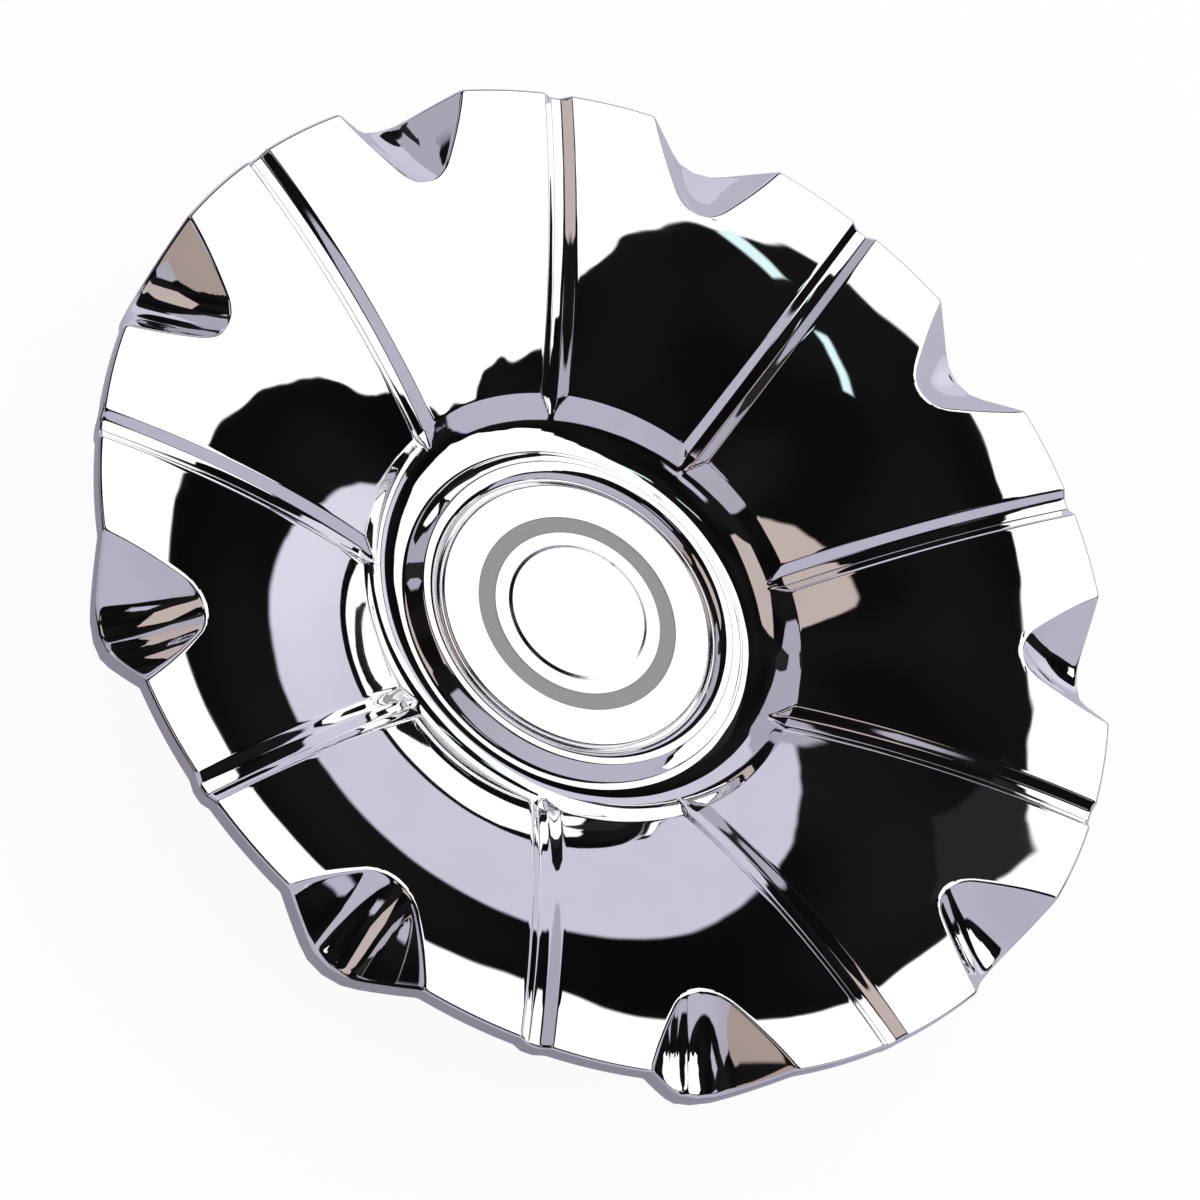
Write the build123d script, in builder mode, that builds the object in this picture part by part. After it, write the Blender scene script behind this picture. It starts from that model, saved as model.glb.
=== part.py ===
"""Snap-in wheel center cap: a dished, chrome-plated moulding with nine grooves and nine rim flutes.

Millimetres, +Z up through the face. The origin is on the axis, at the ends of the snap legs.
"""

import math
import os

from build123d import *

os.makedirs("parts", exist_ok=True)

# Dish: the face is one arc that falls from the rim to the hub
cap_radius = 115.0
rim_height = 57.0
face_arc_radius = 196.0
wall = 2.6
skirt_height = 4.2
skirt_wall = 2.4
edge_break = 0.6

# Emblem disc, in a recess at the middle
emblem_radius = 31.8
emblem_thickness = 1.6
emblem_bevel = 0.7
emblem_clearance = 0.3
recess_depth = 3.1

# Hub rings from the recess outwards: the run of each ring, and drops below the rim
bead_slope_run = 2.1
bead_run = 2.2
moat_slope_run = 3.1
moat_floor_run = 4.0
band_foot_run = 3.7
hub_edge_run = 4.0
bead_drop = 28.7
moat_drop = 30.95
band_foot_drop = 29.0
hub_edge_drop = 24.9

# Pattern round the axis: a groove on +Y, and a flute midway between grooves
repeat_count = 9
groove_azimuth = 90.0

# Groove: a shallow flat-floored channel that follows the face arc
groove_top_width = 6.7
groove_floor_width = 2.4
groove_depth = 1.5

# Flute: a rounded V, swept on an arc that dips outwards through the rim
flute_length = 19.3
flute_rim_depth = 13.4
flute_sweep_radius = 55.0
flute_tip_radius = 8.7
flute_wall_angle = 45.0

# Snap collar and legs, for an 83 mm wheel bore
collar_radius = 41.3
collar_wall = 2.6
collar_root = 0.9
leg_count = 6
leg_length = 13.0
leg_setback = 1.1
slot_width = 6.0
hook_clearance = 0.1
hook_lead = 1.9
hook_land = 2.0
hook_catch = 1.6

# Flat spring ring, snapped into a square notch inside the legs
ring_height = 3.0
ring_thickness = 1.4
ring_bite = 0.8
ring_lift = 3.2
ring_clearance = 0.05
ring_gap_angle = 14.0

# Working values: how far a cut passes what it cuts, and the straight steps on the back of the face
cut_margin = 3.0
core_steps = 3

# Profile of the hub, from the axis to the foot of the face
recess_radius = emblem_radius + emblem_clearance
recess_floor = rim_height - bead_drop - recess_depth
bead_inner = (recess_radius + bead_slope_run, rim_height - bead_drop)
bead_outer = (bead_inner[0] + bead_run, rim_height - bead_drop)
moat_inner = (bead_outer[0] + moat_slope_run, rim_height - moat_drop)
moat_outer = (moat_inner[0] + moat_floor_run, rim_height - moat_drop)
band_foot = (moat_outer[0] + band_foot_run, rim_height - band_foot_drop)
hub_edge = (band_foot[0] + hub_edge_run, rim_height - hub_edge_drop)
hub_points = [(0, recess_floor), (recess_radius, recess_floor), bead_inner, bead_outer]
hub_points += [moat_inner, moat_outer, band_foot, hub_edge]

# Centre of the arc of the face, in the plane of the radius and Z
chord_run = cap_radius - hub_edge[0]
chord_length = math.hypot(chord_run, hub_edge_drop)
arc_offset = math.sqrt(face_arc_radius**2 - (chord_length / 2) ** 2)
arc_x = (cap_radius + hub_edge[0]) / 2 + arc_offset * hub_edge_drop / chord_length
arc_z = rim_height - hub_edge_drop / 2 - arc_offset * chord_run / chord_length


def top_height(radius):
    """Height of the top surface at a radius, away from grooves and flutes."""
    for (start, low), (end, high) in zip(hub_points, hub_points[1:]):
        if start <= radius < end:
            return low + (high - low) * (radius - start) / (end - start)
    return arc_z + math.sqrt(face_arc_radius**2 - (arc_x - radius) ** 2)


# Centre of the circle that the flute's floor follows, above the rim
flute_apex_radius = cap_radius - flute_length
apex_height = top_height(flute_apex_radius)
floor_height = rim_height - flute_rim_depth
sweep_rise = apex_height - floor_height
sweep_length = math.hypot(flute_length, sweep_rise)
sweep_offset = math.sqrt(flute_sweep_radius**2 - (sweep_length / 2) ** 2)
flute_x = (cap_radius + flute_apex_radius) / 2 + sweep_offset * sweep_rise / sweep_length
flute_z = (apex_height + floor_height) / 2 + sweep_offset * flute_length / sweep_length


def tangent_plane(x, z, lean):
    """Sketch plane through (x, 0, z): its first axis runs along +Y, its second leans from +Z towards -X."""
    angle = math.radians(lean)
    return Plane(origin=(x, 0, z), x_dir=(0, 1, 0), z_dir=(math.cos(angle), 0, math.sin(angle)))


# One groove along +X, turned about the centre of the face arc
groove_start = math.degrees(math.asin((arc_x - cap_radius - cut_margin) / face_arc_radius))
groove_end = math.degrees(math.asin((arc_x - band_foot[0]) / face_arc_radius))
groove_spread = cut_margin * (groove_top_width - groove_floor_width) / (2 * groove_depth)
with BuildPart() as groove_cutter:
    with BuildSketch(tangent_plane(arc_x, arc_z, groove_start)):
        with BuildLine():
            Polyline(
                (-groove_floor_width / 2, face_arc_radius - groove_depth),
                (groove_floor_width / 2, face_arc_radius - groove_depth),
                (groove_top_width / 2 + groove_spread, face_arc_radius + cut_margin),
                (-groove_top_width / 2 - groove_spread, face_arc_radius + cut_margin),
                close=True,
            )
        make_face()
    revolve(axis=Axis((arc_x, 0, arc_z), (0, -1, 0)), revolution_arc=groove_end - groove_start)

# Section of the wheel that cuts a flute: a rounded V on its rim
tip_angle = math.radians(flute_wall_angle)
tip_half = flute_tip_radius * math.sin(tip_angle)
tip_side = flute_sweep_radius - flute_tip_radius * (1 - math.cos(tip_angle))
wheel_inner = flute_sweep_radius - flute_rim_depth - cut_margin
wheel_half = tip_half + (tip_side - wheel_inner) / math.tan(tip_angle)


def flute_cutter(show_side):
    """Wheel for one flute along +X; for a core, its round tip is two straight cuts."""
    tip_points = [(-tip_half, tip_side), (0, flute_sweep_radius), (tip_half, tip_side)]
    back_points = [(wheel_half, wheel_inner), (-wheel_half, wheel_inner)]
    with BuildPart() as wheel:
        with BuildSketch(tangent_plane(flute_x, flute_z, 180)):
            with BuildLine():
                if show_side:
                    ThreePointArc(*tip_points)
                else:
                    Polyline(*tip_points)
                Polyline(tip_points[-1], *back_points, tip_points[0])
            make_face()
        revolve(axis=Axis((flute_x, 0, flute_z), (0, 1, 0)))
    return wheel.part


def dish_form(drop, outer_radius, base, show_side, grooved):
    """All that lies under the cap's top surface, lowered by drop, from the axis to outer_radius.

    The show side has the true arc and broken edges; a core has straight steps and sharp corners.
    """
    steps = 2 if show_side else core_steps
    step = (outer_radius - hub_edge[0]) / steps
    stations = [hub_edge[0] + step * i for i in range(steps + 1)]
    face_points = [(radius, top_height(radius) - drop) for radius in stations]
    with BuildPart() as dish:
        with BuildSketch(Plane.XZ) as section:
            with BuildLine():
                Polyline(face_points[-1], (outer_radius, base), (0, base), (0, recess_floor - drop))
                Polyline(*[(radius, height - drop) for radius, height in hub_points])
                if show_side:
                    ThreePointArc(*face_points)
                else:
                    Polyline(*face_points)
            make_face()
            if show_side:
                sharp = [bead_inner, bead_outer, face_points[-1]]
                corners = [section.vertices().sort_by_distance(point)[0] for point in sharp]
                chamfer(corners, edge_break)
        revolve(axis=Axis.Z)
        with Locations((0, 0, -drop)):
            if grooved:
                with PolarLocations(0, repeat_count, start_angle=groove_azimuth):
                    add(groove_cutter.part, mode=Mode.SUBTRACT)
            with PolarLocations(0, repeat_count, start_angle=groove_azimuth + 180 / repeat_count):
                add(flute_cutter(show_side), mode=Mode.SUBTRACT)
    return dish.part


form_base = recess_floor - wall - cut_margin
top_form = dish_form(0, cap_radius, form_base, True, True)
wall_core = dish_form(wall, cap_radius - skirt_wall, form_base - cut_margin, False, False)
skirt_core = dish_form(skirt_height, cap_radius + cut_margin, form_base - cut_margin, False, True)

# Section of the snap collar: its top is rooted in the wall above it
leg_radius = collar_radius - leg_setback
hook_radius = collar_radius - hook_clearance
collar_inner = collar_radius - collar_wall
leg_inner = leg_radius - collar_wall
wall_over_collar = [top_height(collar_inner), top_height(collar_radius)]
wall_over_collar += [height for radius, height in hub_points if collar_inner < radius < collar_radius]
collar_top = min(wall_over_collar) - collar_root
ring_radius = leg_inner + ring_bite

# Cap shell: one moulding, with the snap collar and its legs on the back
with BuildPart() as cap_shell:
    add(top_form)
    add(wall_core, mode=Mode.SUBTRACT)
    add(skirt_core, mode=Mode.SUBTRACT)
    with BuildSketch(Plane.XZ):
        with BuildLine():
            Polyline(
                (leg_inner, 0),
                (leg_radius, 0),
                (hook_radius, hook_lead),
                (hook_radius, hook_lead + hook_land),
                (leg_radius, hook_lead + hook_land + hook_catch),
                (leg_radius, leg_length),
                (collar_radius, leg_length),
                (collar_radius, collar_top),
                (collar_inner, collar_top),
                (collar_inner, leg_length + leg_setback),
                (leg_inner, leg_length),
                close=True,
            )
        make_face()
    revolve(axis=Axis.Z)
    with BuildSketch(Plane.XY.offset(ring_lift - ring_clearance)):
        Circle(ring_radius + ring_clearance)
    extrude(amount=ring_height + 2 * ring_clearance, mode=Mode.SUBTRACT)
    with BuildSketch():
        with PolarLocations(leg_radius, leg_count):
            Rectangle(2 * (collar_wall + cut_margin), slot_width)
    extrude(amount=leg_length, mode=Mode.SUBTRACT)
cap_shell.part.label = "cap_shell"
export_step(cap_shell.part, "parts/cap_shell.step")

# Emblem disc, flat on the floor of the recess
with BuildPart() as emblem_disc:
    with BuildSketch(Plane.XY.offset(recess_floor)):
        Circle(emblem_radius)
    extrude(amount=emblem_thickness)
    chamfer(emblem_disc.edges().group_by(Axis.Z)[-1], emblem_bevel)
emblem_disc.part.label = "emblem_disc"
export_step(emblem_disc.part, "parts/emblem_disc.step")

# Retaining ring: an open band of spring steel, its gap over the slot on +X
gap_reach = ring_radius + cut_margin
gap_half = gap_reach * math.tan(math.radians(ring_gap_angle / 2))
with BuildPart() as retaining_ring:
    with BuildSketch(Plane.XY.offset(ring_lift)):
        Circle(ring_radius)
        Circle(ring_radius - ring_thickness, mode=Mode.SUBTRACT)
        with BuildLine():
            Polyline((0, 0), (gap_reach, gap_half), (gap_reach, -gap_half), close=True)
        make_face(mode=Mode.SUBTRACT)
    extrude(amount=ring_height)
retaining_ring.part.label = "retaining_ring"
export_step(retaining_ring.part, "parts/retaining_ring.step")
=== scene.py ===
"""Looks of the dished chrome wheel center cap, in the cap's own frame, in metres.

The cap stands on its snap legs at z = 0, with its face up and one groove on +Y.
"""

import math

import bmesh
import bpy
from mathutils import Matrix, Vector


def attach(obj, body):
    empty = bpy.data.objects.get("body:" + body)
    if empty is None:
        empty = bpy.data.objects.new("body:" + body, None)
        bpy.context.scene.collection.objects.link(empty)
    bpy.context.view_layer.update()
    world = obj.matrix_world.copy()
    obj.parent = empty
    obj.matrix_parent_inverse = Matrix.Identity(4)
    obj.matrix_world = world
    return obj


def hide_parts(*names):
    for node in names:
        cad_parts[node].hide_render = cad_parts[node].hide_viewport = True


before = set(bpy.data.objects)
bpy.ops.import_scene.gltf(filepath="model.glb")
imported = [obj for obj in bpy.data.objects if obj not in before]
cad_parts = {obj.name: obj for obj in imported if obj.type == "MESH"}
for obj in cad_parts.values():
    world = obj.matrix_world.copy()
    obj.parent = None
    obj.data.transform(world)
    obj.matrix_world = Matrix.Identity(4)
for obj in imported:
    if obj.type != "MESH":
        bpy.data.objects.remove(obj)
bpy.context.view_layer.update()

MM = 0.001

# Sizes of the cap in millimetres, as in the solid model
CAP_RADIUS = 115.0
RIM_HEIGHT = 57.0
FACE_ARC_RADIUS = 196.0
WALL = 2.6
SKIRT_HEIGHT = 4.2
SKIRT_WALL = 2.4
REPEAT_COUNT = 9
GROOVE_AZIMUTH = 90.0

# Hub rings as (radius, height, corner radius), from the foot of the face to the recess
HUB_EDGE = (51.2, 32.1, 1.2)
BAND_FOOT = (46.0, 26.7, 16.0)
MOAT = (40.1, 25.33, 2.0)
BEAD_OUTER = (36.4, 28.3, 0.9)
BEAD_INNER = (33.2, 28.3, 3.6)
RECESS_EDGE = (32.1, 25.2, 0.9)
HUB_RINGS = [HUB_EDGE, BAND_FOOT, MOAT, BEAD_OUTER, BEAD_INNER, RECESS_EDGE]

# Groove section as (offset, height, corner radius), from its middle to the face beside it
GROOVE_SECTION = [(0.0, -1.5, 0.0), (1.2, -1.5, 0.9), (3.35, 0.0, 0.7), (4.6, 0.0, 0.0)]
GROOVE_END = 46.5
GROOVE_BLEND = 0.25

# At the hub a groove closes to a point: how far each side draws in, and how far its floor lifts
GROOVE_DRAW_IN = 1.05
GROOVE_LIFT = 0.55

# Flute: a rounded V swept on an arc that dips through the rim
FLUTE_LENGTH = 19.3
FLUTE_RIM_DEPTH = 13.4
FLUTE_SWEEP_RADIUS = 55.0
FLUTE_TIP_RADIUS = 8.7
FLUTE_WALL_ANGLE = math.radians(45.0)
FLUTE_BLEND = 0.55

# Roundings of the rim's edge and of the foot of the skirt
RIM_ROUND = 1.0
SKIRT_ROUND = 0.6

# Snap collar, and legs with a hook outside and a notch inside
COLLAR_RADIUS = 41.3
COLLAR_WALL = 2.6
COLLAR_TOP = 25.15
LEG_COUNT = 6
LEG_LENGTH = 13.0
LEG_SETBACK = 1.1
SLOT_WIDTH = 6.0
HOOK_RADIUS = 41.2
HOOK_LEAD_TOP = 1.9
HOOK_LAND_TOP = 3.9
HOOK_CATCH_TOP = 5.5
NOTCH_BASE = 3.15
NOTCH_TOP = 6.25
NOTCH_DEPTH = 0.85

# Emblem disc, with a sunk painted ring round a low boss
EMBLEM_RADIUS = 31.8
EMBLEM_THICKNESS = 1.6
EMBLEM_ROUND = 1.0
PAINT_OUTER = 23.2
PAINT_INNER = 19.4
PAINT_SINK = 0.2
PAINT_EDGE_ROUND = 0.08
BOSS_FOOT = 16.3
BOSS_TOP = 15.5
BOSS_RISE = 0.35
BOSS_ROUND = 0.4

# Fineness of the meshes: longest steps in millimetres, counts, and how much each step grows
GROOVE_STEP = 0.8
HUB_FINE_STEP = 0.45
HUB_STEP = 0.9
EMBLEM_STEP = 3.0
PAINT_STEP = 2.0
FACE_COLUMNS = 16
FACE_COLUMN_GROWTH = 1.13
FLUTE_COLUMNS = 11
FLUTE_COLUMN_GROWTH = 1.32
FRONT_LIP_ROWS = 26
FRONT_FACE_ROWS = 30
BACK_LIP_ROWS = 12
BACK_FACE_ROWS = 14
FACE_ROW_GROWTH = 1.08
LIP_SAMPLES = 160
LIP_HALVINGS = 40
RIM_STEPS = 5
SKIRT_STEPS = 4
COLLAR_STEPS = 120
LEG_STEPS = 16
EMBLEM_COLUMNS = 192

# Largest turn between the steps of an arc, and the least turn that stays a sharp edge
ARC_STEP = math.radians(11)
SHARP_TURN = math.radians(32)

# When two points are one: decimals in millimetres within a mesh, and metres between copies
POINT_DECIMALS = 4
WELD_DISTANCE = 2e-6

# Radii where the rows of the face end, beside the hub's edge, and where the fan to the axis starts
FACE_END = HUB_EDGE[0] + 0.8
FAN_START = RECESS_EDGE[0] - 2.1

# How far outside a flute's apex the row that ends there starts, at the groove
APEX_LEAD = 3.5

# Depth under which a groove counts as gone
LEAST_DEPTH = 0.01

# Centre of the arc of the face, and half the angle between two grooves
CHORD = math.hypot(CAP_RADIUS - HUB_EDGE[0], RIM_HEIGHT - HUB_EDGE[1])
ARC_OFFSET = math.sqrt(FACE_ARC_RADIUS**2 - CHORD**2 / 4)
ARC_X = (CAP_RADIUS + HUB_EDGE[0]) / 2 + ARC_OFFSET * (RIM_HEIGHT - HUB_EDGE[1]) / CHORD
ARC_Z = (RIM_HEIGHT + HUB_EDGE[1]) / 2 - ARC_OFFSET * (CAP_RADIUS - HUB_EDGE[0]) / CHORD
HALF_PITCH = math.pi / REPEAT_COUNT


def face_height(radius, depth=0.0):
    """Height of the face arc at a radius, sunk by depth at right angles to the face."""
    return ARC_Z + math.sqrt((FACE_ARC_RADIUS - depth) ** 2 - (ARC_X - radius) ** 2)


# Centre of the circle that a flute's floor follows, and the ends of its rounded tip
FLUTE_APEX = CAP_RADIUS - FLUTE_LENGTH
SWEEP_RISE = face_height(FLUTE_APEX) - (RIM_HEIGHT - FLUTE_RIM_DEPTH)
SWEEP_CHORD = math.hypot(FLUTE_LENGTH, SWEEP_RISE)
SWEEP_OFFSET = math.sqrt(FLUTE_SWEEP_RADIUS**2 - SWEEP_CHORD**2 / 4)
FLUTE_X = (CAP_RADIUS + FLUTE_APEX) / 2 + SWEEP_OFFSET * SWEEP_RISE / SWEEP_CHORD
FLUTE_Z = RIM_HEIGHT - FLUTE_RIM_DEPTH + SWEEP_RISE / 2 + SWEEP_OFFSET * FLUTE_LENGTH / SWEEP_CHORD
TIP_HALF = FLUTE_TIP_RADIUS * math.sin(FLUTE_WALL_ANGLE)
TIP_SIDE = FLUTE_SWEEP_RADIUS - FLUTE_TIP_RADIUS * (1 - math.cos(FLUTE_WALL_ANGLE))


def flute_height(radius, angle):
    """Height of the flute's trough, or far above the face where the flute doesn't reach.

    The angle is measured from the flute's middle.
    """
    along = radius * math.cos(angle)
    aside = abs(radius * math.sin(angle))
    if aside < TIP_HALF:
        wheel = FLUTE_SWEEP_RADIUS - FLUTE_TIP_RADIUS + math.sqrt(FLUTE_TIP_RADIUS**2 - aside**2)
    else:
        wheel = TIP_SIDE - (aside - TIP_HALF)
    reach = wheel**2 - (along - FLUTE_X) ** 2
    if wheel <= 0 or reach <= 0:
        return 2 * RIM_HEIGHT
    return FLUTE_Z - math.sqrt(reach)


def soft_min(a, b, blend):
    """The lower of two heights, with a rounded corner where they cross."""
    mix = min(1.0, max(0.0, 0.5 + 0.5 * (b - a) / blend))
    return b + (a - b) * mix - blend * mix * (1 - mix)


def fluted_height(radius, angle, depth=0.0):
    """Height of the face with its flute; angle is measured from the groove beside the flute."""
    trough = flute_height(radius, HALF_PITCH - angle)
    return soft_min(face_height(radius, depth), trough, FLUTE_BLEND)


def rounded_profile(points, longest):
    """Points (x, y) along a polyline of (x, y, corner radius), with arcs at its corners."""
    out = [Vector(points[0][:2])]
    for before, here, after in zip(points, points[1:], points[2:]):
        corner = Vector(here[:2])
        to_start = (Vector(before[:2]) - corner).normalized()
        to_end = (Vector(after[:2]) - corner).normalized()
        turn = math.pi - to_start.angle(to_end)
        tangent = here[2] * math.tan(turn / 2)
        steps = max(2, round(turn / ARC_STEP), math.ceil(here[2] * turn / longest))
        middle = corner + (to_start + to_end).normalized() * (here[2] / math.cos(turn / 2))
        first = corner + to_start * tangent - middle
        last = corner + to_end * tangent - middle
        begin = math.atan2(first.y, first.x)
        sweep = math.remainder(math.atan2(last.y, last.x) - begin, math.tau)
        for i in range(steps + 1):
            angle = begin + sweep * i / steps
            out.append(middle + here[2] * Vector((math.cos(angle), math.sin(angle))))
    out.append(Vector(points[-1][:2]))
    fine = [out[0]]
    for start, end in zip(out, out[1:]):
        pieces = max(1, math.ceil((end - start).length / longest))
        fine += [start.lerp(end, i / pieces) for i in range(1, pieces + 1)]
    return fine


def graded(count, growth):
    """Fractions from 0 to 1 whose steps grow by a constant ratio."""
    steps = [growth**i for i in range(count)]
    total = sum(steps)
    return [sum(steps[:i]) / total for i in range(count + 1)]


def lip_curve(outer, count):
    """Evenly spaced points (radius, angle) along the edge of a flute, from radius outer to its apex."""
    trail = []
    for i in range(LIP_SAMPLES + 1):
        radius = FLUTE_APEX + (outer - FLUTE_APEX) * (1 - i / LIP_SAMPLES) ** 2
        low = 0.0
        high = HALF_PITCH / 2
        for _ in range(LIP_HALVINGS):
            middle = (low + high) / 2
            if flute_height(radius, middle) < face_height(radius):
                low = middle
            else:
                high = middle
        trail.append((radius, HALF_PITCH - low))
    trail[-1] = (FLUTE_APEX, HALF_PITCH)
    lengths = [0.0]
    for (r0, a0), (r1, a1) in zip(trail, trail[1:]):
        lengths.append(lengths[-1] + math.hypot(r1 - r0, (a1 - a0) * r0))
    out = []
    at = 0
    for i in range(count + 1):
        goal = lengths[-1] * i / count
        while at < LIP_SAMPLES - 1 and lengths[at + 1] < goal:
            at += 1
        mix = (goal - lengths[at]) / (lengths[at + 1] - lengths[at])
        (r0, a0), (r1, a1) = trail[at], trail[at + 1]
        out.append((r0 + (r1 - r0) * mix, a0 + (a1 - a0) * mix))
    out[-1] = trail[-1]
    return out


class RowMesh:
    """A mesh built as rows of points; a face marked as back takes the piece's second material."""

    def __init__(self):
        self.bm = bmesh.new()
        self.back = self.bm.faces.layers.bool.new("back")
        self.known = {}

    def vertex(self, radius, angle, height):
        """The vertex at a place given in millimetres, shared by the faces that meet there."""
        place = (radius * math.cos(angle), radius * math.sin(angle), height)
        key = tuple(round(c, POINT_DECIMALS) for c in place)
        if key not in self.known:
            self.known[key] = self.bm.verts.new([c * MM for c in place])
        return self.known[key]

    def skin(self, rows, back=False):
        """Faces between neighbouring rows of (radius, angle, height)."""
        for near, far in zip(rows, rows[1:]):
            for i in range(len(near) - 1):
                ring = [near[i], near[i + 1], far[i + 1], far[i]]
                verts = []
                for point in ring:
                    vert = self.vertex(*point)
                    if vert not in verts:
                        verts.append(vert)
                if len(verts) > 2 and not self.bm.faces.get(verts):
                    self.bm.faces.new(verts)[self.back] = back

    def mesh(self, name):
        """The finished mesh; nothing can be added after it."""
        data = bpy.data.meshes.new(name)
        self.bm.to_mesh(data)
        self.bm.free()
        return data


def face_rows(outer, lip_count, face_count, grooved, drop):
    """Rows of the face from radius outer to the hub: (groove and face points, flute points or None).

    The first rows end on the edge of the flute, and the others on the line inward from its apex.
    """
    section = rounded_profile(GROOVE_SECTION, GROOVE_STEP)
    side = GROOVE_SECTION[-1][0]
    across = [1 - f for f in reversed(graded(FACE_COLUMNS, FACE_COLUMN_GROWTH))]
    into_flute = graded(FLUTE_COLUMNS, FLUTE_COLUMN_GROWTH)
    lip = lip_curve(outer, lip_count)
    turn = FLUTE_APEX + APEX_LEAD
    edge = [(r, a, outer + (turn - outer) * i / lip_count) for i, (r, a) in enumerate(lip)]
    for f in graded(face_count, FACE_ROW_GROWTH)[1:]:
        radius = FLUTE_APEX + (FACE_END - FLUTE_APEX) * f
        edge.append((radius, HALF_PITCH, turn + (FACE_END - turn) * f))
    rows = []
    for index, (radius, angle, start_radius) in enumerate(edge):
        row = []
        for point in section:
            bearing = math.asin(point.x / start_radius)
            depth = -point.y if grooved else 0.0
            row.append((start_radius, bearing, fluted_height(start_radius, bearing, depth) - drop))
        start_angle = math.asin(side / start_radius)
        for f in across[1:]:
            r = start_radius + (radius - start_radius) * f
            a = start_angle + (angle - start_angle) * f
            row.append((r, a, fluted_height(r, a) - drop))
        trough = None
        if index <= lip_count:
            bottom = outer + (FLUTE_APEX - outer) * index / lip_count
            trough = []
            for f in into_flute:
                r = radius + (bottom - radius) * f
                a = angle + (HALF_PITCH - angle) * f
                trough.append((r, a, fluted_height(r, a) - drop))
        rows.append((row, trough))
    return rows


def groove_depth(section, offset):
    """Depth of the groove at an offset from its middle."""
    for a, b in zip(section, section[1:]):
        if a.x <= offset <= b.x and b.x > a.x:
            return -(a.y + (b.y - a.y) * (offset - a.x) / (b.x - a.x))
    return 0.0


def add_face(sector, rows, back):
    """Faces of the rows made by face_rows."""
    sector.skin([row for row, _ in rows], back)
    sector.skin([trough for _, trough in rows if trough], back)


def half_sector():
    """The front, rim, skirt and back of half a sector, as one open mesh."""
    sector = RowMesh()

    # Front: face, groove and flute, then the hub rings down to the axis
    front = face_rows(CAP_RADIUS - RIM_ROUND, FRONT_LIP_ROWS, FRONT_FACE_ROWS, True, 0.0)
    add_face(sector, front, False)
    section = rounded_profile(GROOVE_SECTION, GROOVE_STEP)
    start = (FACE_END, face_height(FACE_END), 0.0)
    floor_end = (FAN_START, RECESS_EDGE[1], 0.0)
    hub_corners = [start] + HUB_RINGS + [floor_end]
    hub_profile = [p for p in rounded_profile(hub_corners, HUB_FINE_STEP) if p.x > GROOVE_END]
    hub_profile += [p for p in rounded_profile(hub_corners, HUB_STEP) if p.x <= GROOVE_END]
    hub_rows = []
    for p in hub_profile:
        row = []
        close = max(0.0, (HUB_EDGE[0] - p.x) / (HUB_EDGE[0] - GROOVE_END))
        for _, angle, _ in front[-1][0]:
            top = p.y
            depth = groove_depth(section, FACE_END * math.sin(angle) + GROOVE_DRAW_IN * close)
            if depth > LEAST_DEPTH and p.x > GROOVE_END:
                top = soft_min(top, face_height(p.x, depth) + GROOVE_LIFT * close, GROOVE_BLEND)
            row.append((p.x, angle, top))
        hub_rows.append(row)
    hub_rows[0] = front[-1][0]
    hub_rows.append([(0.0, 0.0, RECESS_EDGE[1])] * len(hub_rows[0]))
    sector.skin(hub_rows)

    # Rim and skirt: rounded over the edge, down the outside and up the inside
    columns = front[0][0] + front[0][1][1:]
    rim_depths = [-p.y for p in section] + [0.0] * (len(columns) - len(section))
    inner_wall = CAP_RADIUS - SKIRT_WALL
    back_face = face_rows(inner_wall, BACK_LIP_ROWS, BACK_FACE_ROWS, False, WALL)
    back_columns = back_face[0][0] + back_face[0][1][1:]

    def wall_row(radius, sink, from_top):
        """A row at a radius, sunk below the face there, or below the face at the rim."""
        row = []
        for (_, angle, _), depth in zip(columns, rim_depths):
            top = fluted_height(radius if from_top else CAP_RADIUS, angle, depth)
            row.append((radius, angle, top - sink))
        return row

    outside = [columns]
    for i in range(1, RIM_STEPS + 1):
        swing = math.radians(90 * i / RIM_STEPS)
        radius = CAP_RADIUS - RIM_ROUND + RIM_ROUND * math.sin(swing)
        outside.append(wall_row(radius, RIM_ROUND * (1 - math.cos(swing)), True))
    inside = []
    for i in range(SKIRT_STEPS + 1):
        swing = math.radians(90 * i / SKIRT_STEPS)
        draw_in = SKIRT_ROUND * (1 - math.cos(swing))
        sink = SKIRT_HEIGHT - SKIRT_ROUND * (1 - math.sin(swing))
        outside.append(wall_row(CAP_RADIUS - draw_in, sink, False))
        inside.insert(0, wall_row(inner_wall + draw_in, sink, False))
    sector.skin(outside + inside[:1])
    sector.skin(inside + [back_columns], True)

    # Back of the wall, with no grooves
    add_face(sector, back_face, True)
    under_rows = [back_face[-1][0]]
    for radius, height, _ in HUB_RINGS + [(0.0, RECESS_EDGE[1], 0.0)]:
        under_rows.append([(radius, angle, height - WALL) for _, angle, _ in back_face[-1][0]])
    sector.skin(under_rows, True)
    return sector.mesh("half_sector")


def link(name, data):
    """A new object at the origin, in the scene."""
    obj = bpy.data.objects.new(name, data)
    bpy.context.collection.objects.link(obj)
    return obj


class Tree:
    """A node tree with one way to add any node."""

    def __init__(self, tree):
        self.tree = tree

    def node(self, kind, settings=None, **inputs):
        """A node of that type: its settings first, then its sockets by name or position (as s0, s1)."""
        made = self.tree.nodes.new(kind)
        for key, value in (settings or {}).items():
            setattr(made, key, value)
        for key, value in inputs.items():
            number = key[1:] if key[0] == "s" and key[1:].isdigit() else None
            socket = made.inputs[int(number)] if number else made.inputs[key.replace("_", " ")]
            self.feed(socket, value)
        return made

    def feed(self, socket, value):
        """Links or sets one socket."""
        value = getattr(value, "socket", value)
        if isinstance(value, bpy.types.Node):
            value = value.outputs[0]
        if isinstance(value, bpy.types.NodeSocket):
            self.tree.links.new(value, socket)
        else:
            socket.default_value = value


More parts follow.
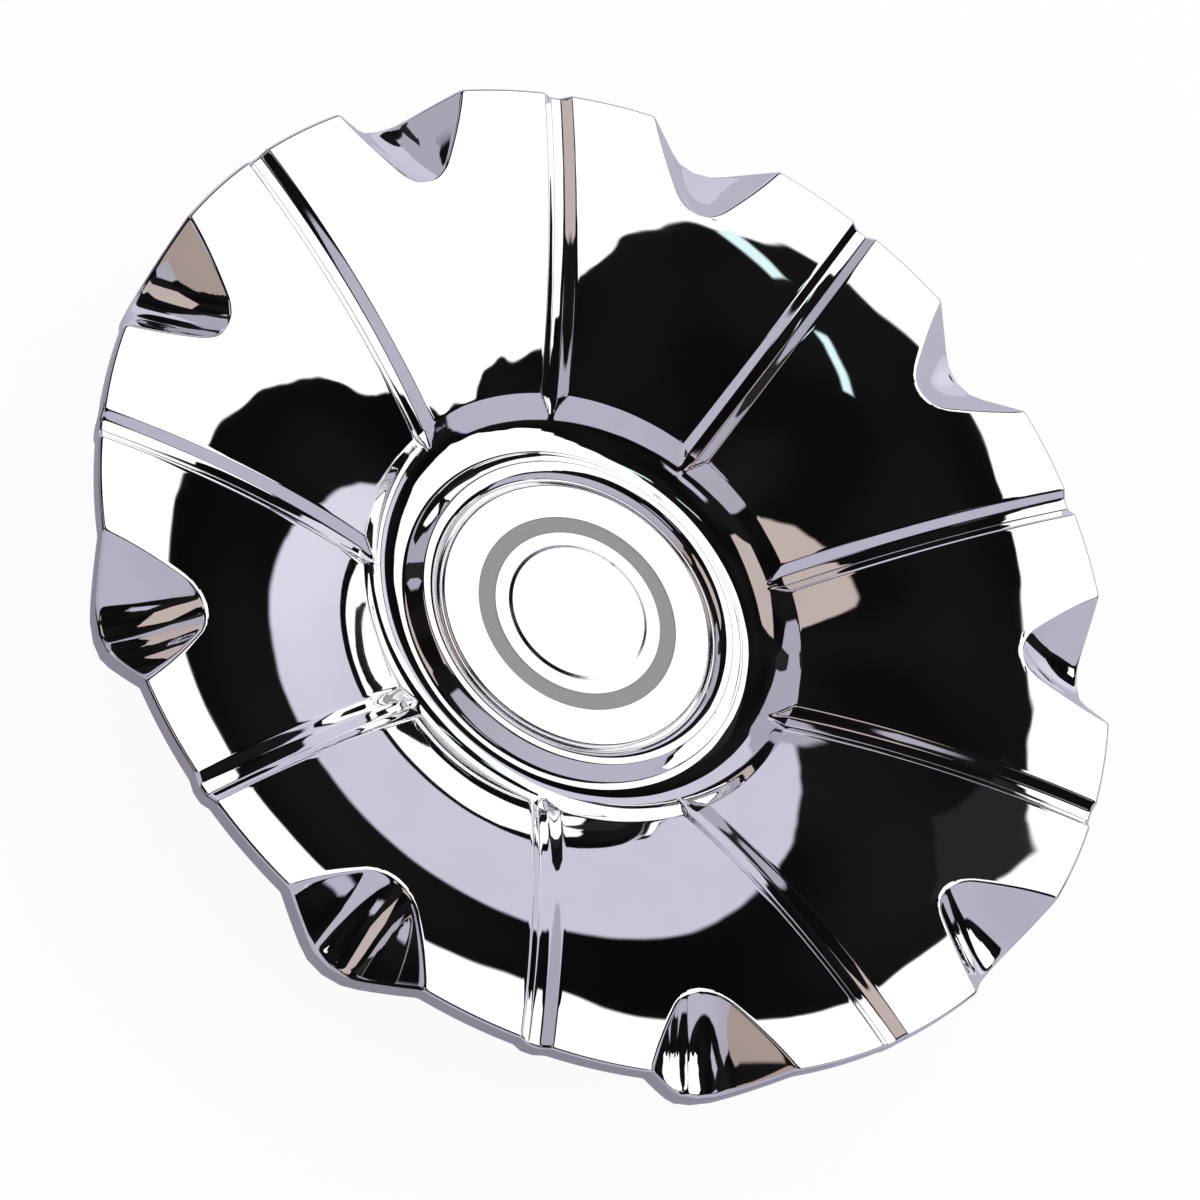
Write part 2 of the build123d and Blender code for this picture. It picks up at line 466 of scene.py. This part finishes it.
class Value:
    """A number socket that can be used in Python expressions."""

    def __init__(self, tree, socket):
        self.tree = tree
        self.socket = socket.outputs[0] if isinstance(socket, bpy.types.Node) else socket

    def maths(self, operation, *others):
        """The result of a maths node with this number first."""
        made = self.tree.node("ShaderNodeMath", {"operation": operation}, s0=self)
        for place, other in enumerate(others, 1):
            self.tree.feed(made.inputs[place], other)
        return Value(self.tree, made)

    def __add__(self, other):
        return self.maths("ADD", other)

    def __sub__(self, other):
        return self.maths("SUBTRACT", other)

    def __mul__(self, other):
        return self.maths("MULTIPLY", other)

    def __rsub__(self, other):
        made = self.tree.node("ShaderNodeMath", {"operation": "SUBTRACT"}, s0=other, s1=self)
        return Value(self.tree, made)

    __radd__ = __add__
    __rmul__ = __mul__

    def ramp(self, low, high):
        """0 below low, 1 above high, with a smooth step between."""
        smooth = {"interpolation_type": "SMOOTHSTEP"}
        made = self.tree.node("ShaderNodeMapRange", smooth, Value=self, From_Min=low, From_Max=high)
        return Value(self.tree, made)


def blend(tree, amount, below, above):
    """Colour mixed from below to above by amount."""
    mix = tree.node("ShaderNodeMix", {"data_type": "RGBA"})
    tree.feed(mix.inputs["Factor"], amount)
    tree.feed(mix.inputs[6], below)
    tree.feed(mix.inputs[7], above)
    return mix.outputs[2]


def grey(level):
    """A neutral colour."""
    return (level, level, level, 1.0)


def new_material(name, metallic=0.0):
    """A material with its tree, its shader and Object coordinates."""
    material = bpy.data.materials.new(name)
    material.use_nodes = True
    tree = Tree(material.node_tree)
    shader = material.node_tree.nodes["Principled BSDF"]
    shader.inputs["Metallic"].default_value = metallic
    place = tree.node("ShaderNodeTexCoord").outputs["Object"]
    return material, tree, shader, place


def noise(tree, place, scale, detail):
    """Cloudy noise from 0 to 1 in three dimensions."""
    solid = {"noise_dimensions": "3D"}
    made = tree.node("ShaderNodeTexNoise", solid, Vector=place, Scale=scale, Detail=detail)
    return Value(tree, made)


def bump(tree, shader, height, distance):
    """Tilts the shader's surface by a height from 0 to 1 over a distance in metres."""
    made = tree.node("ShaderNodeBump", None, Height=height, Distance=distance, Strength=1.0)
    tree.feed(shader.inputs["Normal"], made)


def chrome_plating():
    """Mirror-bright plating with the faint ripple and haze of a moulded part."""
    material, tree, shader, place = new_material("chrome_plating", metallic=1.0)
    clear = (0.93, 0.93, 0.945, 1.0)
    hazy = (0.9, 0.9, 0.92, 1.0)
    haze = noise(tree, place, scale=90.0, detail=1.0).ramp(0.4, 0.75)
    tree.feed(shader.inputs["Base Color"], blend(tree, haze, clear, hazy))
    tree.feed(shader.inputs["Roughness"], 0.018 + haze * 0.008)
    ripple = noise(tree, place, scale=160.0, detail=0.0)
    bump(tree, shader, ripple, distance=0.000005)
    return material


def back_plating():
    """Thin plating on the moulded back: duller, with flow marks."""
    material, tree, shader, place = new_material("back_plating", metallic=1.0)
    thin = (0.62, 0.62, 0.64, 1.0)
    thick = (0.74, 0.74, 0.76, 1.0)
    flow = noise(tree, place, scale=60.0, detail=5.0)
    tree.feed(shader.inputs["Base Color"], blend(tree, flow, thin, thick))
    tree.feed(shader.inputs["Roughness"], 0.24 + flow * 0.16)
    grain = noise(tree, place, scale=900.0, detail=3.0)
    bump(tree, shader, grain, distance=0.00004)
    return material


def emblem_metal():
    """Bright silver with fine turning marks round the axis."""
    material, tree, shader, place = new_material("emblem_metal", metallic=1.0)
    marks_per_metre = 9000.0
    dim = (0.93, 0.93, 0.94, 1.0)
    bright = grey(0.97)
    parts = tree.node("ShaderNodeSeparateXYZ", None, Vector=place)
    x = Value(tree, parts.outputs[0])
    y = Value(tree, parts.outputs[1])
    along = (x * x + y * y).maths("SQRT") * marks_per_metre
    line = {"noise_dimensions": "1D"}
    marks = Value(tree, tree.node("ShaderNodeTexNoise", line, W=along, Scale=1.0, Detail=2.0))
    cloud = noise(tree, place, scale=160.0, detail=3.0)
    tree.feed(shader.inputs["Base Color"], blend(tree, cloud, dim, bright))
    tree.feed(shader.inputs["Roughness"], 0.09 + marks * 0.06)
    bump(tree, shader, marks, distance=0.000012)
    return material


def ring_paint():
    """Grey enamel in the ring of the emblem, with a fine grain."""
    material, tree, shader, place = new_material("ring_paint")
    grain = noise(tree, place, scale=1500.0, detail=2.0)
    tree.feed(shader.inputs["Base Color"], blend(tree, grain, grey(0.27), grey(0.33)))
    tree.feed(shader.inputs["Roughness"], 0.32 + grain * 0.12)
    bump(tree, shader, grain, distance=0.00001)
    return material


def spring_steel():
    """Plain rolled steel with marks along the band."""
    material, tree, shader, place = new_material("spring_steel", metallic=1.0)
    dark = (0.36, 0.36, 0.37, 1.0)
    bright = (0.52, 0.52, 0.53, 1.0)
    stretched = tree.node("ShaderNodeMapping", None, Vector=place, Scale=(1.0, 1.0, 30.0))
    streaks = noise(tree, stretched, scale=120.0, detail=4.0)
    tree.feed(shader.inputs["Base Color"], blend(tree, streaks, dark, bright))
    tree.feed(shader.inputs["Roughness"], 0.3 + streaks * 0.15)
    bump(tree, shader, streaks, distance=0.00002)
    return material


def round_the_axis():
    """Geometry tree that sets copies of a piece round the Z axis, with a mirrored half where asked."""
    group = bpy.data.node_groups.new("round_the_axis", "GeometryNodeTree")
    sockets = [
        ("Geometry", "NodeSocketGeometry"),
        ("Count", "NodeSocketInt"),
        ("Start Angle", "NodeSocketFloat"),
        ("Mirrored", "NodeSocketBool"),
        ("Front", "NodeSocketMaterial"),
        ("Back", "NodeSocketMaterial"),
    ]
    for name, kind in sockets:
        group.interface.new_socket(name, in_out="INPUT", socket_type=kind)
    group.interface.new_socket("Geometry", in_out="OUTPUT", socket_type="NodeSocketGeometry")
    tree = Tree(group)
    start = tree.node("NodeGroupInput")
    piece = start.outputs["Geometry"]
    other = tree.node("GeometryNodeTransform", None, Geometry=piece, Scale=(1.0, -1.0, 1.0))
    other = tree.node("GeometryNodeFlipFaces", None, Mesh=other)
    pair = tree.node("GeometryNodeJoinGeometry", None, Geometry=piece)
    tree.feed(pair.inputs[0], other)
    chosen = tree.node("GeometryNodeSwitch", {"input_type": "GEOMETRY"}, Switch=start.outputs["Mirrored"])
    tree.feed(chosen.inputs["False"], piece)
    tree.feed(chosen.inputs["True"], pair)
    count = start.outputs["Count"]
    points = tree.node("GeometryNodePoints", None, Count=count)
    index = Value(tree, tree.node("GeometryNodeInputIndex"))
    step = tree.node("ShaderNodeMath", {"operation": "DIVIDE"}, s0=math.tau, s1=count)
    turn = tree.node("ShaderNodeCombineXYZ", None, Z=index * step + start.outputs["Start Angle"])
    copies = tree.node("GeometryNodeInstanceOnPoints", None, Points=points, Instance=chosen, Rotation=turn)
    real = tree.node("GeometryNodeRealizeInstances", None, Geometry=copies)
    welded = tree.node("GeometryNodeMergeByDistance", None, Geometry=real, Distance=WELD_DISTANCE)
    front = tree.node("GeometryNodeSetMaterial", None, Geometry=welded, Material=start.outputs["Front"])
    is_back = tree.node("GeometryNodeInputNamedAttribute", {"data_type": "BOOLEAN"}, Name="back")
    back = tree.node("GeometryNodeSetMaterial", None, Geometry=front, Selection=is_back)
    tree.feed(back.inputs["Material"], start.outputs["Back"])
    tree.node("NodeGroupOutput", None, Geometry=back)
    return group


def set_round(data, group, **values):
    """Plain mesh of a template set round the axis by the tree, with its inputs given by name."""
    obj = link(data.name, data)
    modifier = obj.modifiers.new("round", "NODES")
    modifier.node_group = group
    for item in group.interface.items_tree:
        if item.in_out == "INPUT" and item.name in values:
            modifier[item.identifier] = values[item.name]
    graph = bpy.context.evaluated_depsgraph_get()
    result = bpy.data.meshes.new_from_object(obj.evaluated_get(graph), depsgraph=graph)
    bpy.data.objects.remove(obj)
    return result


def swept(outline, start, sweep, steps):
    """Mesh for the back: a closed outline of (radius, height) turned about the axis.

    It has flat ends if it isn't a full turn.
    """
    sector = RowMesh()
    full = sweep == math.tau
    ring = list(outline) + [outline[0]]
    angles = [start + sweep * i / steps for i in range(steps + 1)]
    if full:
        angles[-1] = angles[0]
    sector.skin([[(r, a, z) for r, z in ring] for a in angles], True)
    if not full:
        for a in (angles[0], angles[-1]):
            sector.bm.faces.new([sector.vertex(r, a, z) for r, z in outline])[sector.back] = True
    return sector.mesh("swept")


def joined(name, meshes, materials):
    """One object from several meshes, with outward faces and sharp edges where they turn hard."""
    bm = bmesh.new()
    for data in meshes:
        bm.from_mesh(data)
    back = bm.faces.layers.bool.get("back")
    bmesh.ops.recalc_face_normals(bm, faces=bm.faces)
    for face in bm.faces:
        face.smooth = True
        face.material_index = int(face[back])
    for edge in bm.edges:
        edge.smooth = len(edge.link_faces) < 2 or edge.calc_face_angle(0.0) < SHARP_TURN
    data = bpy.data.meshes.new(name)
    bm.to_mesh(data)
    bm.free()
    for material in materials:
        data.materials.append(material)
    return link(name, data)


def leg_outline():
    """Section of a snap leg, with its hook outside and the notch for the ring inside."""
    outer = COLLAR_RADIUS - LEG_SETBACK
    inner = outer - COLLAR_WALL
    notch = inner + NOTCH_DEPTH
    return [
        (inner, 0.0), (outer, 0.0),
        (HOOK_RADIUS, HOOK_LEAD_TOP), (HOOK_RADIUS, HOOK_LAND_TOP), (outer, HOOK_CATCH_TOP),
        (outer, LEG_LENGTH), (inner, LEG_LENGTH),
        (inner, NOTCH_TOP), (notch, NOTCH_TOP), (notch, NOTCH_BASE), (inner, NOTCH_BASE),
    ]


def cap_shell_piece(group, front, back):
    """The dish, from one half sector, with the collar and legs on its back."""
    dish = set_round(
        half_sector(), group, Count=REPEAT_COUNT, Mirrored=True, Front=front, Back=back,
        **{"Start Angle": math.radians(GROOVE_AZIMUTH)},
    )
    inner = COLLAR_RADIUS - COLLAR_WALL
    collar_outline = [
        (inner - LEG_SETBACK, LEG_LENGTH), (COLLAR_RADIUS, LEG_LENGTH), (COLLAR_RADIUS, COLLAR_TOP),
        (inner, COLLAR_TOP), (inner, LEG_LENGTH + LEG_SETBACK),
    ]
    collar = swept(collar_outline, 0.0, math.tau, COLLAR_STEPS)
    slot_half = math.asin(SLOT_WIDTH / 2 / COLLAR_RADIUS)
    leg = swept(leg_outline(), slot_half, math.tau / LEG_COUNT - 2 * slot_half, LEG_STEPS)
    legs = set_round(
        leg, group, Count=LEG_COUNT, Mirrored=False, Front=front, Back=back, **{"Start Angle": 0.0}
    )
    shell = joined("cap_shell_chrome", [dish, collar, legs], [front, back])
    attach(shell, "root")
    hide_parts("cap_shell")


def emblem_piece(silver, paint):
    """Emblem disc with a rounded edge, a sunk painted ring and a low plain boss."""
    floor = RECESS_EDGE[1]
    top = floor + EMBLEM_THICKNESS
    sunk = top - PAINT_SINK
    raised = top + BOSS_RISE
    edge = [
        (EMBLEM_RADIUS, floor, 0.0), (EMBLEM_RADIUS, top, EMBLEM_ROUND),
        (PAINT_OUTER, top, PAINT_EDGE_ROUND), (PAINT_OUTER, sunk, PAINT_EDGE_ROUND),
    ]
    ring = [(PAINT_OUTER, sunk, 0.0), (PAINT_INNER, sunk, 0.0)]
    boss = [
        (PAINT_INNER, sunk, PAINT_EDGE_ROUND), (PAINT_INNER, top, PAINT_EDGE_ROUND),
        (BOSS_FOOT, top, BOSS_ROUND), (BOSS_TOP, raised, BOSS_ROUND), (0.0, raised, 0.0),
    ]
    sector = RowMesh()
    angles = [math.tau * i / EMBLEM_COLUMNS for i in range(EMBLEM_COLUMNS)] + [0.0]

    def turned(profile, painted):
        """Adds a profile turned once round the axis."""
        sector.skin([[(p.x, a, p.y) for a in angles] for p in profile], painted)

    turned(rounded_profile(edge, EMBLEM_STEP), False)
    turned(rounded_profile(ring, PAINT_STEP), True)
    turned(rounded_profile(boss, EMBLEM_STEP), False)
    turned([Vector((0.0, floor)), Vector((EMBLEM_RADIUS, floor))], False)
    emblem = joined("emblem_disc_silver", [sector.mesh("emblem")], [silver, paint])
    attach(emblem, "root")
    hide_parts("emblem_disc")


def direction(azimuth, elevation):
    """Unit vector towards a bearing from +X and a height above the horizon, in degrees."""
    a = math.radians(azimuth)
    e = math.radians(elevation)
    return Vector((math.cos(e) * math.cos(a), math.cos(e) * math.sin(a), math.sin(e)))


# Colours of the studio
BLACK = grey(0.003)
DARK = grey(0.01)
WHITE = grey(1.25)
PALE_LAVENDER = (0.77, 0.735, 0.845, 1.0)
LAVENDER = (0.64, 0.61, 0.73, 1.0)
GREY_LAVENDER = (0.5, 0.48, 0.585, 1.0)
DIM_LAVENDER = (0.43, 0.42, 0.49, 1.0)
ASH = (0.262, 0.254, 0.305, 1.0)
CYAN = (0.8, 1.02, 1.02, 1.0)
SIDE_GREY = (0.415, 0.403, 0.48, 1.0)
TAN = (0.555, 0.465, 0.43, 1.0)
BROWN = (0.4, 0.322, 0.285, 1.0)
CEILING = (0.53, 0.5, 0.62, 1.0)
SHADE = grey(0.02)

# Walls of the studio as (darkest, brightest, glow, edge softness, edge ripple, caps)
# The glow and each cap are (azimuth, elevation, radius) in degrees; a wall is where all its caps overlap
WALLS = [
    (DIM_LAVENDER, GREY_LAVENDER, (-50, 40, 72), 0.012, 0.02, [
        (-108.5, -65.0, 118.2), (-68, 0, 90), (-112, 0, 90),
    ]),
    (LAVENDER, PALE_LAVENDER, (23, 17, 19), 0.006, 0.03, [(-169.6, -76.2, 121.0), (60, 0, 62)]),
]

# Flat cards as (colour, edge softness, edge ripple, corners), each corner (azimuth, elevation) in degrees
CARDS = [
    (CEILING, 0.02, 0.04, [(-147, 60), (-147, 66), (-128, 68), (-112, 66), (-112, 61)]),
    (SIDE_GREY, 0.012, 0.04, [(99, 36), (99, 8), (138, 9), (150, 17), (151, 27), (128, 36)]),
    (SHADE, 0.006, 0.02, [(130.5, 22.5), (137.5, 22.5), (138, 33), (131, 39), (125, 38), (128, 31)]),
    (TAN, 0.006, 0.03, [
        (128.5, 57.5), (136, 45), (160, 43), (-176, 46), (-172, 58),
        (-177, 65.3), (165, 65.6), (148, 64), (131, 60),
    ]),
    (BROWN, 0.012, 0.05, [(-167, 33), (-168, 18), (-160, 16), (-149, 21), (-148, 32), (-160, 35)]),
    (WHITE, 0.004, 0.1, [
        (-42, 57), (-22.5, 39.5), (-14, 33), (2, 31), (52, 30),
        (64, 44), (84, 61), (73, 73), (20, 76.8), (-25, 70),
    ]),
    (CYAN, 0.004, 0.01, [(6.6, 76.1), (12.3, 75.9), (18, 80.6), (10.8, 80.9)]),
    (CYAN, 0.004, 0.01, [(33.7, 86), (44.1, 85.4), (118, 84.9), (123.7, 85.7)]),
    (SHADE, 0.006, 0.08, [(66, 52), (70, 43), (82, 44), (80, 53)]),
]


def studio():
    """World: white to the camera, even white to dull surfaces, and a dark room with cards to gloss."""
    world = bpy.data.worlds.new("studio")
    bpy.context.scene.world = world
    world.use_nodes = True
    tree = Tree(world.node_tree)
    sight = tree.node("ShaderNodeTexCoord").outputs["Generated"]
    way = tree.node("ShaderNodeVectorMath", {"operation": "NORMALIZE"}, s0=sight)
    wave = noise(tree, way, scale=8.0, detail=1.5) - 0.5
    cloud = noise(tree, way, scale=3.0, detail=0.0).ramp(0.25, 0.75)

    def towards(target):
        """Cosine of the angle between the line of sight and a unit vector."""
        made = tree.node("ShaderNodeVectorMath", {"operation": "DOT_PRODUCT"}, s0=way, s1=target)
        return Value(tree, made.outputs["Value"])

    def painted(colour, depths, paint, soft, ripple):
        """Colour with paint where every depth is above zero, with a slightly wavy edge."""
        inside = depths[0]
        for depth in depths[1:]:
            inside = inside.maths("MINIMUM", depth)
        return blend(tree, (inside + wave * ripple).ramp(-soft, soft), colour, paint)

    colour = blend(tree, cloud, BLACK, DARK)
    for darkest, brightest, glow, soft, ripple, caps in WALLS:
        depths = [towards(direction(a, e)) - math.cos(math.radians(r)) for a, e, r in caps]
        nearness = towards(direction(*glow[:2])).ramp(math.cos(math.radians(glow[2])), 1.0)
        paint = blend(tree, nearness, darkest, brightest)
        colour = painted(colour, depths, paint, soft, ripple)
    for paint, soft, ripple, corners in CARDS:
        points = [direction(*corner) for corner in corners]
        middle = sum(points, Vector())
        edges = [a.cross(b).normalized() for a, b in zip(points, points[1:] + points[:1])]
        depths = [towards(edge if edge.dot(middle) > 0 else -edge) for edge in edges]
        colour = painted(colour, depths, paint, soft, ripple)
    room = world.node_tree.nodes["Background"]
    tree.feed(room.inputs["Color"], colour)
    plain_white = tree.node("ShaderNodeBackground", None, Color=grey(1.0), Strength=1.0)
    path = tree.node("ShaderNodeLightPath")
    even = Value(tree, path.outputs["Is Diffuse Ray"]).maths("MAXIMUM", path.outputs["Is Camera Ray"])
    whole = tree.node("ShaderNodeMixShader", None, s0=even, s1=room, s2=plain_white)
    tree.feed(world.node_tree.nodes["World Output"].inputs["Surface"], whole)


def pale_floor():
    """A wide plain floor under the legs: white to the camera with a faint shadow, and to gloss a painted
    reflection that glows lavender, darker towards -X -Y.
    """
    half = 6.0
    whiteness = 0.92
    corners = [(-half, -half, 0), (half, -half, 0), (half, half, 0), (-half, half, 0)]
    data = bpy.data.meshes.new("pale_floor")
    data.from_pydata(corners, [], [(0, 1, 2, 3)])
    floor = link("pale_floor", data)
    material, tree, shader, place = new_material("pale_floor")
    grain = noise(tree, place, scale=40.0, detail=0.0)
    tree.feed(shader.inputs["Base Color"], blend(tree, grain, grey(0.97), grey(0.985)))
    shader.inputs["Roughness"].default_value = 0.9
    shader.inputs["Specular IOR Level"].default_value = 0.0
    path = tree.node("ShaderNodeLightPath")
    white = tree.node("ShaderNodeEmission", None, Color=grey(1.0), Strength=1.0)
    lightened = Value(tree, path.outputs["Is Camera Ray"]) * whiteness
    seen = tree.node("ShaderNodeMixShader", None, s0=lightened, s1=shader, s2=white)
    # To glossy rays the floor glows with a painted reflection: lavender, darker towards -X -Y
    parts = tree.node("ShaderNodeSeparateXYZ", None, Vector=place)
    across = Value(tree, parts.outputs[0]) + Value(tree, parts.outputs[1])
    reflection_tone = blend(tree, across.ramp(-0.15, 0.1), ASH, GREY_LAVENDER)
    painted_reflection = tree.node("ShaderNodeEmission", None, Color=reflection_tone, Strength=1.0)
    whole = tree.node("ShaderNodeMixShader", None, s0=path.outputs["Is Glossy Ray"], s1=seen, s2=painted_reflection)
    tree.feed(material.node_tree.nodes["Material Output"].inputs["Surface"], whole)
    data.materials.append(material)


def photo_camera():
    """Camera at the photograph's place, worked out from the rim, grooves and hub rings."""
    place = Vector((-0.28576, -0.28519, 0.56720))
    right = Vector((0.90129448, -0.14762115, 0.40727910))
    up = Vector((-0.05558263, 0.89297236, 0.44666647))
    back = right.cross(up)
    data = bpy.data.cameras.new("camera")
    data.sensor_width = 36.0
    data.lens = 93.80
    data.clip_end = 50.0
    camera = link("camera", data)
    turn = Matrix((right, up, back)).transposed().to_4x4()
    camera.matrix_world = Matrix.Translation(place) @ turn
    bpy.context.scene.camera = camera


bpy.context.scene.view_settings.view_transform = "Standard"
copies_round = round_the_axis()
cap_shell_piece(copies_round, chrome_plating(), back_plating())
emblem_piece(emblem_metal(), ring_paint())
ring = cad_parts["retaining_ring"]
ring.data.materials.clear()
ring.data.materials.append(spring_steel())
studio()
pale_floor()
photo_camera()
